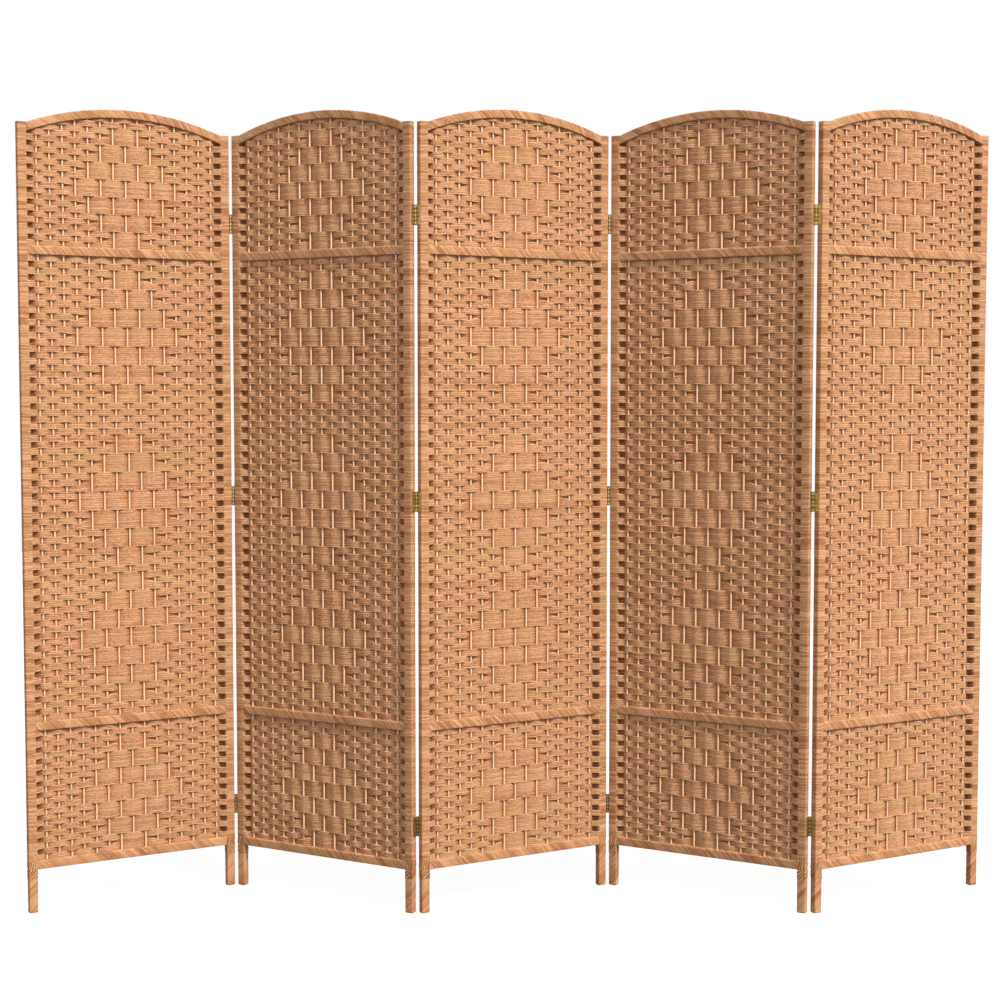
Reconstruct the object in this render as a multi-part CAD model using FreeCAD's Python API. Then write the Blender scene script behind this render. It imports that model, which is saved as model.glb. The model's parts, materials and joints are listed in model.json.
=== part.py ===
import FreeCAD, Part
import math
import os
from FreeCAD import Vector

# Folding room divider: five woven panels with arched tops, hinged in a zigzag.
# Millimetres. X runs along the screen, Y away from the viewer, Z up from the floor.
# A panel is drawn centred on its own X and Y, then turned and moved to its place.

# Screen
panel_count = 5
panel_width = 500.0         # outer edge to outer edge of one panel
stile_height = 1800.0       # floor to the flat shoulder of a stile
fold_angle = 29.13          # degrees that each panel turns from the line of the screen

# Fibre wrapping, wound round every bar of the frame
wrap_thickness = 1.5
wrap_clearance = 0.1        # between a wooden core and its wrapping
foot_reveal = 2.0           # bare wood under the wrapping, which meets the floor

# Wooden cores
stile_core_width = 18.0
stile_core_depth = 15.0
rail_core_height = 17.0
rail_core_depth = 12.0
core_corner_radius = 2.0

# Each rail's wrapped underside: the bottom rail's height above the floor, and the others' shares of a stile
bottom_rail_level = 100.0
lower_rail_share = 0.2339
upper_rail_share = 0.8361

# Arch: its outer curve rises from the stiles' tops
arch_rise = 41.8
arch_band = 19.0            # wrapped height of the arch, measured along its radius
arch_core_depth = 12.0

# Tenons of the rails and the arch, and their mortises in the stiles
tenon_length = 10.0
tenon_height = 9.0
tenon_depth = 7.0
tenon_clearance = 0.15

# Upright stakes of the weave
stake_count = 15
stake_radius = 2.5
stake_edge_gap = 23.2       # stile's inner face to the middle of the first stake
stake_clearance = 0.2
stake_socket = 8.0          # depth of a stake's socket in the arch and the bottom rail
stake_end_clearance = 0.3

# Woven field, one slab between each two bars
weft_thickness = 10.0
weft_clearance = 0.2

# Hinges: brass leaves on the stiles' end faces, barrels just proud of a face
hinge_level_shares = (0.111, 0.526, 0.885)          # middle of each hinge, as a share of a stile
leaf_height = 45.0
leaf_width = 16.0           # pin axis to the leaf's far edge
leaf_thickness = 1.0
barrel_radius = 2.2
barrel_offset = 1.0         # pin axis in front of the panel's face
knuckle_count = 5
knuckle_gap = 0.3
barrel_clearance = 0.3      # barrel to the other leaf's edge
pin_radius = 1.1
pin_clearance = 0.05
pin_head_radius = 1.8
pin_head_height = 0.8

# Countersunk screws, three to a leaf
screw_count = 3
screw_spacing = 14.0
screw_head_radius = 2.6
screw_shank_radius = 1.3
screw_length = 12.0
screw_point = 2.5
screw_clearance = 0.05
screw_recess_depth = 0.6
screw_recess_width = 0.6
screw_recess_length = 3.0

# Extra length of a cutting shape past the face that it opens
overrun = 1.0

# Sizes worked out from those above
stile_width = stile_core_width + 2 * wrap_thickness
stile_depth = stile_core_depth + 2 * wrap_thickness
rail_height = rail_core_height + 2 * wrap_thickness
half_width = panel_width / 2
clear_half = half_width - stile_width               # middle to a stile's wrapped inner face
core_half = half_width - wrap_thickness - stile_core_width
stile_core_top = stile_height - wrap_thickness
arch_radius = (clear_half ** 2 + arch_rise ** 2) / (2 * arch_rise)
arch_centre_level = stile_height + arch_rise - arch_radius
arch_core_outer = arch_radius - wrap_thickness
arch_core_inner = arch_radius - arch_band + wrap_thickness
stake_pitch = 2 * (clear_half - stake_edge_gap) / (stake_count - 1)
stake_foot = bottom_rail_level + wrap_thickness + rail_core_height - stake_socket
hinge_gap = 2 * barrel_radius                       # between the end faces of two panels
pin_to_middle = stile_depth / 2 + barrel_offset     # pin axis to a panel's middle plane
knuckle_height = (leaf_height - (knuckle_count - 1) * knuckle_gap) / knuckle_count
hinge_levels = [share * stile_height for share in hinge_level_shares]
lower_rail_level = lower_rail_share * stile_height
upper_rail_level = upper_rail_share * stile_height

rail_levels = {
    "bottom_rail": bottom_rail_level,
    "lower_rail": lower_rail_level,
    "upper_rail": upper_rail_level,
}

axis_x = Vector(1, 0, 0)
axis_y = Vector(0, 1, 0)
axis_z = Vector(0, 0, 1)


def block(first, second):
    """Box between two opposite corners, given in any order."""
    low = Vector(min(first.x, second.x), min(first.y, second.y), min(first.z, second.z))
    high = Vector(max(first.x, second.x), max(first.y, second.y), max(first.z, second.z))
    size = high - low
    return Part.makeBox(size.x, size.y, size.z, low)


def rounded_bar(first, second, radius, along):
    """Box whose four long edges, those along one axis, are rounded."""
    bar = block(first, second)
    long_edges = []
    for edge in bar.Edges:
        direction = edge.tangentAt(edge.FirstParameter)
        if abs(direction.dot(along)) > 0.5:
            long_edges.append(edge)
    return bar.makeFillet(radius, long_edges)


def cut_all(body, tools):
    """Body less every tool."""
    return body.cut(tools).removeSplitter()


def stile_bar(side, growth, low, high):
    """Upright bar on the core's section, grown on all four sides; side is -1 left, 1 right."""
    middle = side * (core_half + stile_core_width / 2)
    half_section = stile_core_width / 2 + growth
    half_depth = stile_core_depth / 2 + growth
    first = Vector(middle - half_section, -half_depth, low)
    second = Vector(middle + half_section, half_depth, high)
    return rounded_bar(first, second, core_corner_radius + growth, axis_z)


def rail_bar(level, growth, half_length):
    """Level bar on a rail core's section, grown on all four sides."""
    middle = level + wrap_thickness + rail_core_height / 2
    half_section = rail_core_height / 2 + growth
    half_depth = rail_core_depth / 2 + growth
    first = Vector(-half_length, -half_depth, middle - half_section)
    second = Vector(half_length, half_depth, middle + half_section)
    return rounded_bar(first, second, core_corner_radius + growth, axis_x)


def arch_bar(growth, half_length, radius):
    """Curved bar on the arch core's section, grown on all sides, ending in upright faces."""
    outer = arch_core_outer + growth
    inner = arch_core_inner - growth
    half_depth = arch_core_depth / 2 + growth
    first = Vector(-overrun, -half_depth, arch_centre_level - outer)
    second = Vector(overrun, half_depth, arch_centre_level - inner)
    sample = rounded_bar(first, second, radius, axis_x) if radius > 0 else block(first, second)
    section = Part.Face(sample.slice(axis_x, 0)[0])
    ring = section.revolve(Vector(0, 0, arch_centre_level), axis_y, 360)
    span = block(
        Vector(-half_length, -half_depth, arch_centre_level),
        Vector(half_length, half_depth, arch_centre_level + outer),
    )
    return ring.common(span)


def arch_end_level():
    """Height of the arch's middle line where it meets a stile's core."""
    middle_radius = arch_radius - arch_band / 2
    return arch_centre_level + math.sqrt(middle_radius ** 2 - core_half ** 2)


def tenon_levels():
    """Height of the middle of each tenon in a stile."""
    rails = [level + wrap_thickness + rail_core_height / 2 for level in rail_levels.values()]
    return rails + [arch_end_level()]


def tenon(side, level, clearance):
    """Tenon that leaves a bar's end and enters a stile; with clearance, its mortise."""
    half_section = tenon_height / 2 + clearance
    half_depth = tenon_depth / 2 + clearance
    first = Vector(side * core_half, -half_depth, level - half_section)
    second = Vector(side * (core_half + tenon_length + clearance), half_depth, level + half_section)
    return block(first, second)


def with_tenons(bar, level):
    """Bar with a tenon at each end."""
    return bar.fuse([tenon(-1, level, 0), tenon(1, level, 0)]).removeSplitter()


def stake_places():
    """X of each stake, from left to right."""
    return [(number - (stake_count - 1) / 2) * stake_pitch for number in range(stake_count)]


def stake_top(x):
    """Height of the end of a stake's socket in the arch."""
    return arch_centre_level + math.sqrt(arch_core_inner ** 2 - x ** 2) + stake_socket


def stake_rods(growth, end_gap):
    """One upright round rod per stake; grown, they are the stakes' bores."""
    rods = []
    for x in stake_places():
        height = stake_top(x) - end_gap - stake_foot
        rods.append(Part.makeCylinder(stake_radius + growth, height, Vector(x, 0, stake_foot), axis_z))
    return rods


def screw_solid(growth):
    """Countersunk screw along X with its head's top at X 0, grown on all sides."""
    head = screw_head_radius + growth
    shank = screw_shank_radius + growth
    tip = screw_length + growth
    points = [
        Vector(0, 0, 0),
        Vector(0, head, 0),
        Vector(-leaf_thickness, shank, 0),
        Vector(screw_point - tip, shank, 0),
        Vector(-tip, 0, 0),
        Vector(0, 0, 0),
    ]
    return Part.Face(Part.makePolygon(points)).revolve(Vector(0, 0, 0), axis_x, 360)


def screw_hole():
    """Countersunk hole for a screw, open past the leaf's face."""
    mouth = Part.makeCylinder(screw_head_radius + screw_clearance, overrun, Vector(0, 0, 0), axis_x)
    return screw_solid(screw_clearance).fuse(mouth)


def hinge_screw():
    """Screw with a cross recess in its head."""
    screw = screw_solid(0)
    half_width = screw_recess_width / 2
    half_length = screw_recess_length / 2
    upright = block(
        Vector(-screw_recess_depth, -half_width, -half_length),
        Vector(overrun, half_width, half_length),
    )
    level = block(
        Vector(-screw_recess_depth, -half_length, -half_width),
        Vector(overrun, half_length, half_width),
    )
    return screw.cut([upright, level])


def screw_places(levels):
    """Height of each screw of the hinges at these levels."""
    middle = (screw_count - 1) / 2
    return [level + (row - middle) * screw_spacing for level in levels for row in range(screw_count)]


def set_screws(shape, side, levels):
    """Copies of a screw or its hole, driven into a panel's end; side is -1 left, 1 right."""
    copies = []
    for level in screw_places(levels):
        copy = shape.copy()
        if side < 0:
            copy.rotate(Vector(0, 0, 0), axis_z, 180)
        copy.translate(Vector(side * (half_width + leaf_thickness), 0, level))
        copies.append(copy)
    return copies


def hinge_leaf(side, front):
    """Leaf with its knuckles, about height 0, on a panel's end; front is 1 or -1 for the barrel's face."""
    pin_x = side * (half_width + hinge_gap / 2)
    pin_y = -front * pin_to_middle
    half_height = leaf_height / 2
    plate = block(
        Vector(side * half_width, pin_y, -half_height),
        Vector(side * (half_width + leaf_thickness), pin_y + front * leaf_width, half_height),
    )
    own = 0 if side > 0 else 1
    barrels = []
    pin_foot = Vector(pin_x, pin_y, -half_height)
    cuts = [Part.makeCylinder(pin_radius + pin_clearance, leaf_height, pin_foot, axis_z)]
    for number in range(knuckle_count):
        low = number * (knuckle_height + knuckle_gap) - half_height
        if number % 2 == own:
            base = Vector(pin_x, pin_y, low)
            barrels.append(Part.makeCylinder(barrel_radius, knuckle_height, base, axis_z))
        else:
            base = Vector(pin_x, pin_y, low - knuckle_gap)
            height = knuckle_height + 2 * knuckle_gap
            cuts.append(Part.makeCylinder(barrel_radius + barrel_clearance, height, base, axis_z))
    leaf = plate.fuse(barrels).removeSplitter()
    return cut_all(leaf, cuts + set_screws(screw_hole(), side, (0,)))


def hinge_leaves(side, front):
    """One leaf at each hinge's height."""
    leaf = hinge_leaf(side, front)
    return [leaf.translated(Vector(0, 0, level)) for level in hinge_levels]


def hinge_pin(front):
    """Pin with a small head at each end, at the right end of a panel, about height 0."""
    pin_x = half_width + hinge_gap / 2
    pin_y = -front * pin_to_middle
    half_height = leaf_height / 2
    shank = Part.makeCylinder(pin_radius, leaf_height, Vector(pin_x, pin_y, -half_height), axis_z)
    top = Part.makeCylinder(pin_head_radius, pin_head_height, Vector(pin_x, pin_y, half_height), axis_z)
    foot_base = Vector(pin_x, pin_y, -half_height - pin_head_height)
    foot = Part.makeCylinder(pin_head_radius, pin_head_height, foot_base, axis_z)
    return shank.fuse([top, foot]).removeSplitter()


def hinge_pins(front):
    """One pin at each hinge's height."""
    pin = hinge_pin(front)
    return [pin.translated(Vector(0, 0, level)) for level in hinge_levels]


def stile(side, hinged):
    """Stile core with its mortises and, where a hinge sits, its pilot holes."""
    cuts = [tenon(side, level, tenon_clearance) for level in tenon_levels()]
    if hinged:
        cuts += set_screws(screw_hole(), side, hinge_levels)
    return cut_all(stile_bar(side, 0, 0, stile_core_top), cuts)


def stile_wrap(side, hinged):
    """Wrapping of a stile, closed over its top and open where the bars and screws pass."""
    skin = stile_bar(side, wrap_thickness, foot_reveal, stile_height)
    bore = stile_bar(side, wrap_clearance, 0, stile_core_top + wrap_clearance)
    cuts = [rail_bar(level, wrap_clearance, core_half) for level in rail_levels.values()]
    cuts.append(arch_bar(wrap_clearance, core_half, 0))
    if hinged:
        cuts += set_screws(screw_hole(), side, hinge_levels)
    return cut_all(skin.cut(bore), cuts)


def rail_wrap(level, rods):
    """Wrapping of a rail between the stiles' wrappings."""
    skin = rail_bar(level, wrap_thickness, clear_half)
    bore = rail_bar(level, wrap_clearance, clear_half)
    return cut_all(skin.cut(bore), rods)


def arch_wrap(rods):
    """Wrapping of the arch between the stiles' wrappings."""
    skin = arch_bar(wrap_thickness, clear_half, core_corner_radius + wrap_thickness)
    bore = arch_bar(wrap_clearance, clear_half, 0)
    return cut_all(skin.cut(bore), rods)


def weft_slab(low, high, rods):
    """Woven field between two heights, bored for the stakes."""
    reach = clear_half - weft_clearance
    half_depth = weft_thickness / 2
    slab = block(
        Vector(-reach, -half_depth, low + weft_clearance),
        Vector(reach, half_depth, high - weft_clearance),
    )
    return slab.cut(rods)


def arched_slab(low, rods):
    """Top woven field, which ends under the arch."""
    radius = arch_radius - arch_band - weft_clearance
    slab = weft_slab(low, arch_centre_level + arch_radius, rods)
    base = Vector(0, -stile_depth / 2, arch_centre_level)
    under_arch = Part.makeCylinder(radius, stile_depth, base, axis_y)
    return slab.common(under_arch)


def panel_nodes():
    """Pieces that every panel has, in the panel's own place."""
    bores = stake_rods(stake_clearance, 0)
    nodes = {}
    wraps = []
    for name, level in rail_levels.items():
        middle = level + wrap_thickness + rail_core_height / 2
        core = with_tenons(rail_bar(level, 0, core_half), middle)
        nodes[name] = [cut_all(core, bores)]
        wraps.append(rail_wrap(level, bores))
    arch = with_tenons(arch_bar(0, core_half, 0), arch_end_level())
    nodes["top_arch"] = [cut_all(arch, bores)]
    wraps.append(arch_wrap(bores))
    nodes["stakes"] = stake_rods(0, stake_end_clearance)
    nodes["weft"] = [
        weft_slab(bottom_rail_level + rail_height, lower_rail_level, bores),
        weft_slab(lower_rail_level + rail_height, upper_rail_level, bores),
        arched_slab(upper_rail_level + rail_height, bores),
    ]
    nodes["wrap"] = wraps
    return nodes


def panel_places():
    """Middle, turn in degrees and right-hand pin of each panel, from left to right."""
    places = []
    left_end = Vector(0, 0, 0)
    for number in range(panel_count):
        turn = fold_angle if number % 2 == 0 else -fold_angle
        along = Vector(math.cos(math.radians(turn)), math.sin(math.radians(turn)), 0)
        forward = Vector(along.y, -along.x, 0)
        front = 1 if number % 2 == 0 else -1
        pin = left_end + along * (panel_width + hinge_gap / 2) + forward * (front * pin_to_middle)
        places.append((left_end + along * half_width, turn, pin))
        next_along = Vector(along.x, -along.y, 0)
        next_forward = Vector(next_along.y, -next_along.x, 0)
        left_end = pin - next_forward * (front * pin_to_middle) + next_along * (hinge_gap / 2)
    return places


def placed(shapes, place):
    """Shapes moved from the panel's own place to the screen."""
    middle, turn, pin = place
    moved = []
    for shape in shapes:
        copy = shape.copy()
        copy.rotate(Vector(0, 0, 0), axis_z, turn)
        copy.translate(middle)
        moved.append(copy)
    return moved


def all_nodes():
    """Every node of the screen, with the solids that it holds."""
    common = panel_nodes()
    stiles = {(side, hinged): stile(side, hinged) for side in (-1, 1) for hinged in (False, True)}
    stile_wraps = {(side, hinged): stile_wrap(side, hinged) for side in (-1, 1) for hinged in (False, True)}
    screw = hinge_screw()
    nodes = {}
    for index, place in enumerate(panel_places()):
        number = index + 1
        has_left = index > 0
        has_right = number < panel_count
        right_front = 1 if index % 2 == 0 else -1
        pieces = dict(common)
        pieces["left_stile"] = [stiles[(-1, has_left)]]
        pieces["right_stile"] = [stiles[(1, has_right)]]
        pieces["wrap"] = common["wrap"] + [stile_wraps[(-1, has_left)], stile_wraps[(1, has_right)]]
        leaves = []
        screws = []
        if has_left:
            leaves += hinge_leaves(-1, -right_front)
            screws += set_screws(screw, -1, hinge_levels)
        if has_right:
            leaves += hinge_leaves(1, right_front)
            screws += set_screws(screw, 1, hinge_levels)
            nodes["hinge_pins_" + str(number) + str(number + 1)] = placed(hinge_pins(right_front), place)
        pieces["hinge_leaves"] = leaves
        pieces["hinge_screws"] = screws
        for name, shapes in pieces.items():
            nodes[name + "_" + str(number)] = placed(shapes, place)
    return nodes


def main():
    """Write one file per node, with the screen centred over the origin."""
    os.makedirs("parts", exist_ok=True)
    nodes = all_nodes()
    outline = Part.makeCompound([shape for shapes in nodes.values() for shape in shapes])
    box = outline.optimalBoundingBox(False)
    shift = Vector(-(box.XMin + box.XMax) / 2, -(box.YMin + box.YMax) / 2, 0)
    print("screen", round(box.XLength, 3), "x", round(box.YLength, 3), "x", round(box.ZLength, 3))
    for name, shapes in nodes.items():
        node = Part.makeCompound(shapes)
        node.translate(shift)
        print(name, len(node.Solids), "solids", round(node.Volume), "valid", node.isValid())
        node.exportStep("parts/" + name + ".step")
    for index, place in enumerate(panel_places()):
        middle = place[0] + shift
        pin = place[2] + shift
        print("panel", index + 1, "middle", round(middle.x, 4), round(middle.y, 4), "turn", place[1])
        print("  pin on its right", round(pin.x, 4), round(pin.y, 4))


main()
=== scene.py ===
import json
import math
from functools import partial

import bpy
import numpy as np
from bpy.props import FloatProperty, FloatVectorProperty, IntProperty, PointerProperty
from mathutils import Matrix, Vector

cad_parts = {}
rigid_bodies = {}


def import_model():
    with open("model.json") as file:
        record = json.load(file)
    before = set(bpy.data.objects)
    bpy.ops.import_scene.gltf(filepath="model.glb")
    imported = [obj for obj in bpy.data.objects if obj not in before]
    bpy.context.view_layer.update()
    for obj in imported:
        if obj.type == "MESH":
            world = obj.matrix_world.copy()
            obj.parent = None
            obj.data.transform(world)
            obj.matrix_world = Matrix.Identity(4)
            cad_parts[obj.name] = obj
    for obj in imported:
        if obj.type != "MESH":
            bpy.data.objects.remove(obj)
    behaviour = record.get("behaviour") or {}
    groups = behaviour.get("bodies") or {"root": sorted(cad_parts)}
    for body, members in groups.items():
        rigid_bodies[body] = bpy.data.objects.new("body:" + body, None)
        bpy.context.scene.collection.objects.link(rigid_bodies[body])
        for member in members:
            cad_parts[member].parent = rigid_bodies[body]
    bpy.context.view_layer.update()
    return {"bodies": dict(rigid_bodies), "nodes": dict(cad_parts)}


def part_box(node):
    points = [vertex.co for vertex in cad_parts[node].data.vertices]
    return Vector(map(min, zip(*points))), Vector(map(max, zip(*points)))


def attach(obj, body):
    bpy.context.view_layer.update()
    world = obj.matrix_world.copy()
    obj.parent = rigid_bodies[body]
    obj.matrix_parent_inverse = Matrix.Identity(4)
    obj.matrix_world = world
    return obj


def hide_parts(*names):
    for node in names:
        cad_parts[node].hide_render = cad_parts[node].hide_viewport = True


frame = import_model()

bl_info = {
    "name": "Woven Folding Screen",
    "version": (1, 0, 0),
    "blender": (4, 5, 0),
    "location": "3D View > Sidebar > Folding Screen",
    "description": "Weaves, winds and finishes a folding screen of arched panels on its modelled frame",
    "category": "Add Mesh",
}

# A panel is drawn standing on its own: X along the panel, Y away from the viewer, Z up, in metres.
# Rows of weaving are bands of twisted cord that run from stile to stile, over and under upright stakes.

PANELS = sorted(int(name.split("_")[1]) for name in frame["bodies"])
WRAP = 0.0015               # thickness of the cord that is wound on a wooden core
GAP = 0.001                 # two rows, or a row and a rail, that are nearer than this touch

# Stakes, counted from the left, that show for three rows at a time in a diamond: 7 and 9 at its top, then 6,
# 8 and 10, and so on to its foot
DIAMOND = [range(7 - wider, 10 + wider, 2) for wider in (0, 1, 2, 3, 2, 1, 0)]
ROWS_IN_BLOCK = 3

# A band on its way from stile to stile
SPAN_STEPS = 6              # from one stake to the next
END_SPAN_STEPS = 8          # from a stile to the nearest stake
END_STEPS = np.array([0.0, 0.003, 0.007, 0.011])    # where its ends lie on the stiles
END_DEPTHS = np.array([1.0, 0.985, 0.955, 0.9])     # the share of its depth that it has there
STRAIGHT = 0.6              # share of its way past a stake that it goes straight, and not in a curve
BULGE_POWER = 0.6           # under 1 makes a bulge blunt
SWAY = 0.06                 # how much more or less deep than even it goes, in waves of SWAY_LENGTH
SWAY_LENGTH = 0.11
OWN_DRIFT = 0.35            # how much it drifts on its own for each part of the panel's drift, in waves
OWN_DRIFT_LENGTH = 0.09
FANNING = 0.55              # how much higher it is behind a stile

# A cord across a band, from one groove at 0 to the next at 1
SHOULDERS = (0.28, 0.72)
SHOULDER_DEPTH = 0.5        # of the band's thickness
GROOVE_DEPTH = 0.1
STOUTNESS = (0.75, 1.12)    # least and most

# Depths of the wound cord, as shares of a groove's: least and most at a groove, and at the crown of a cord
WOUND_GROOVES = (0.75, 1.0)
WOUND_CROWNS = (0.0, 0.22)

STAKE_SHARE = 0.88          # mean thickness of a stake, of its full one
STAKE_WAVER = 0.03          # how much thicker and thinner it gets, in waves of STAKE_WAVER_LENGTH
STAKE_WAVER_LENGTH = 0.3
STAKE_BEND = 0.0002         # how far it leaves its line, in waves of STAKE_BEND_LENGTH
STAKE_BEND_LENGTH = 0.5
STAKE_OVAL = 0.03           # half of how much thinner it is one way than the other
STAKE_TENON = 0.006         # how far it goes into a rail or the arch
STAKE_RINGS = 70
STAKE_SIDES = 12

# Lashing where a stile meets the bottom rail
LASHING_CORD = 1.7          # width of its cord, of the winding's
LASHING_POINTS = 5          # steps of its mesh across one cord
LASHING_LEANS = (-0.25, -1.0)   # travel round the stile for each metre up: beside the rail, and under it

# Sockets of a Mix node for colours: how much of the second colour, and the two colours
SHARE, FIRST, SECOND = 0, 6, 7

Length = partial(FloatProperty, unit="LENGTH", precision=5)
Angle = partial(FloatProperty, subtype="ANGLE")
Colour = partial(FloatVectorProperty, size=3, subtype="COLOR", min=0, max=1)


def linear(colour):
    """A colour written as an sRGB hex value, as the linear numbers that a shader takes."""
    levels = [int(colour[i:i + 2], 16) / 255 for i in (1, 3, 5)]
    return [level / 12.92 if level <= 0.04045 else ((level + 0.055) / 1.055) ** 2.4 for level in levels]


def rgba(colour, shares=(1.0, 1.0, 1.0)):
    """A linear colour with its alpha, and only a share of its red, green and blue."""
    return [*(part * share for part, share in zip(colour, shares)), 1.0]


def underside(name):
    """Lowest level of a bar of the frame with the cord wound on it."""
    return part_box(name)[0].z - WRAP


def top_side(name):
    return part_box(name)[1].z + WRAP


def stile_middle(name):
    low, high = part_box(name)
    return (low + high) / 2


def panel_place(number):
    """Where a panel stands: from its own X, Y and Z to the screen's."""
    left = stile_middle(f"left_stile_{number}")
    right = stile_middle(f"right_stile_{number}")
    along = right - left
    turn = math.atan2(along.y, along.x)
    middle = (left + right) / 2
    return Matrix.Translation((middle.x, middle.y, 0.0)) @ Matrix.Rotation(turn, 4, "Z")


def modelled_spread():
    """Distance between the middles of a panel's two stiles."""
    return (stile_middle("right_stile_1") - stile_middle("left_stile_1")).length


class FrameSizes(bpy.types.PropertyGroup):
    """The wound frame of one panel"""
    stile_spread: Length(
        name="Stile Spread", description="Middle of one stile to the middle of the other",
        default=modelled_spread())
    stile_width: Length(name="Stile Width", description="Wound width of a stile", default=0.021)
    stile_depth: Length(name="Stile Depth", description="Wound depth of a stile", default=0.018)
    rail_depth: Length(name="Rail Depth", description="Wound depth of the rails and the arch", default=0.0165)
    corner: Length(name="Corner", description="Corner radius of a wound bar", default=0.0022)
    arch_band: Length(name="Arch Band", description="Wound height of the arch", default=0.019)
    stile_top: Length(
        name="Stile Top", description="Floor to the shoulder of a stile", default=top_side("left_stile_1"))
    arch_top: Length(
        name="Arch Top", description="Floor to the top of the arch", default=top_side("top_arch_1"))
    bottom_rail: Length(
        name="Bottom Rail", description="Floor to the bottom rail's underside",
        default=underside("bottom_rail_1"))
    lower_rail: Length(
        name="Lower Rail", description="Floor to the lower rail's underside",
        default=underside("lower_rail_1"))
    upper_rail: Length(
        name="Upper Rail", description="Floor to the upper rail's underside",
        default=underside("upper_rail_1"))
    rail_height: Length(name="Rail Height", description="Wound height of a rail", default=0.02)
    foot_reveal: Length(name="Foot Reveal", description="Bare wood under the winding", default=0.002)


class WeaveSizes(bpy.types.PropertyGroup):
    """The bands of cord and the stakes that they pass"""
    stakes: IntProperty(name="Stakes", description="Upright stakes in a panel", default=15)
    stake_pitch: Length(name="Stake Pitch", description="Middle of one stake to the next", default=0.0294)
    stake_thickness: Length(name="Stake Thickness", description="Thickness of a stake", default=0.005)
    cords: IntProperty(name="Cords", description="Cords side by side in one band", default=4)
    band_thickness: Length(name="Band Thickness", description="Front to back of a band", default=0.0025)
    upper_rows: IntProperty(
        name="Upper Rows", description="Rows from the upper rail to the top of the arch", default=23)
    upper_row: Length(name="Upper Row", description="Height of a row above the upper rail", default=0.01308)
    middle_rows: IntProperty(
        name="Middle Rows", description="Rows between the lower and the upper rail", default=73)
    lower_rows: IntProperty(
        name="Lower Rows", description="Rows between the bottom and the lower rail", default=23)
    fullness: FloatProperty(
        name="Fullness", description="Height of a band as a share of its row", default=1.1)
    hidden: FloatProperty(
        name="Hidden", description="Share of the last span that a band stays behind a stile", default=0.32)
    under_rail: Length(
        name="Under Rail", description="Height of the deep shade under a rail or the arch", default=0.003)
    rise: FloatProperty(
        name="Rise", description="Share of a row that a band bulges up where it has room", default=0.43)
    sag: FloatProperty(
        name="Sag", description="Share of a row that a band bulges down where it has room", default=0.16)
    drift: Length(name="Drift", description="How far a row wanders up and down", default=0.0006)
    seed: IntProperty(name="Seed", description="Start of the small irregularities", default=7)


class WindingSizes(bpy.types.PropertyGroup):
    """The cord wound on the bars of the frame"""
    cord: Length(name="Cord", description="Width of one cord", default=0.00327)
    groove: Length(name="Groove", description="Depth of the groove between two cords", default=0.0011)
    crown: Length(name="Crown", description="How far a cord stands out of the bar's size", default=0.0004)
    lashing: Length(
        name="Lashing", description="Height of the lashing of a leg under the bottom rail", default=0.021)
    rail_lean: FloatProperty(
        name="Rail Lean", description="Travel along a rail for each metre round it", default=0.95)
    leg_lean: FloatProperty(
        name="Leg Lean", description="Travel up a leg for each metre round it", default=0.8)


class HingeSizes(bpy.types.PropertyGroup):
    """The three butt hinges of a fold"""
    levels: FloatVectorProperty(
        name="Levels", description="Floor to the middle of each hinge",
        size=3, default=(0.1998, 0.9468, 1.593), unit="LENGTH", precision=5)
    height: Length(name="Height", description="Height of a hinge", default=0.045)
    knuckles: IntProperty(name="Knuckles", description="Knuckles in a barrel", default=5)
    barrel_back: Length(
        name="Barrel Back", description="Middle of a panel to the back of its barrels", default=0.0078)


class Finishes(bpy.types.PropertyGroup):
    """Colours of the screen"""
    fibre_light: Colour(name="Fibre, Light", description="Lighter paper fibre", default=linear("#cb9a77"))
    fibre_dark: Colour(name="Fibre, Dark", description="Darker paper fibre", default=linear("#94613d"))
    fibre_straw: Colour(
        name="Fibre, Straw", description="Straw tint of some cords", default=linear("#b28f60"))
    bamboo: Colour(name="Bamboo", description="Peeled bamboo", default=linear("#dbb696"))
    brass: Colour(name="Brass", description="Rolled brass", default=linear("#dcc68f"))
    pine: Colour(name="Pine", description="Planed pine", default=linear("#d2a878"))


class StudioSettings(bpy.types.PropertyGroup):
    """Camera, floor and lights"""
    lens: FloatProperty(name="Lens", description="Focal length in millimetres", default=64.354, precision=3)
    camera_place: FloatVectorProperty(
        name="Camera Place", description="Where the camera stands",
        size=3, subtype="TRANSLATION", unit="LENGTH", default=(-0.0355, -4.1658, 1.2002))
    camera_pitch: Angle(
        name="Camera Pitch", description="How far the camera looks down", default=math.radians(3.526))
    key_side: Angle(
        name="Key Side", description="Angle of the main light to the right", default=math.radians(48))
    key_height: Angle(
        name="Key Height", description="Angle of the main light above the floor", default=math.radians(44))
    key_strength: FloatProperty(name="Key Strength", description="Strength of the main light", default=4.15)
    softness: Angle(
        name="Softness", description="Angle that each of the two lights fills", default=math.radians(9))
    back_side: Angle(
        name="Back Side", description="Angle of the light from behind, to the right",
        default=math.radians(150))
    back_height: Angle(
        name="Back Height", description="Angle of the light from behind above the floor",
        default=math.radians(38))
    back_strength: FloatProperty(
        name="Back Strength", description="Strength of the light from behind", default=1.8)
    fill_strength: FloatProperty(
        name="Fill Strength", description="Strength of the light from all round", default=1.04)
    fill_lean: FloatVectorProperty(
        name="Fill Lean", description="How much brighter that light is towards X, Y and Z",
        size=3, default=(0.45, -0.55, 0.3))
    floor_reach: FloatProperty(
        name="Floor Reach", description="Middle of the floor to its edge", default=9.0, unit="LENGTH")
    floor_glow: FloatProperty(
        name="Floor Glow", description="How bright the floor is made for the camera", default=0.86)


def screen():
    return bpy.context.scene.folding_screen


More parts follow.
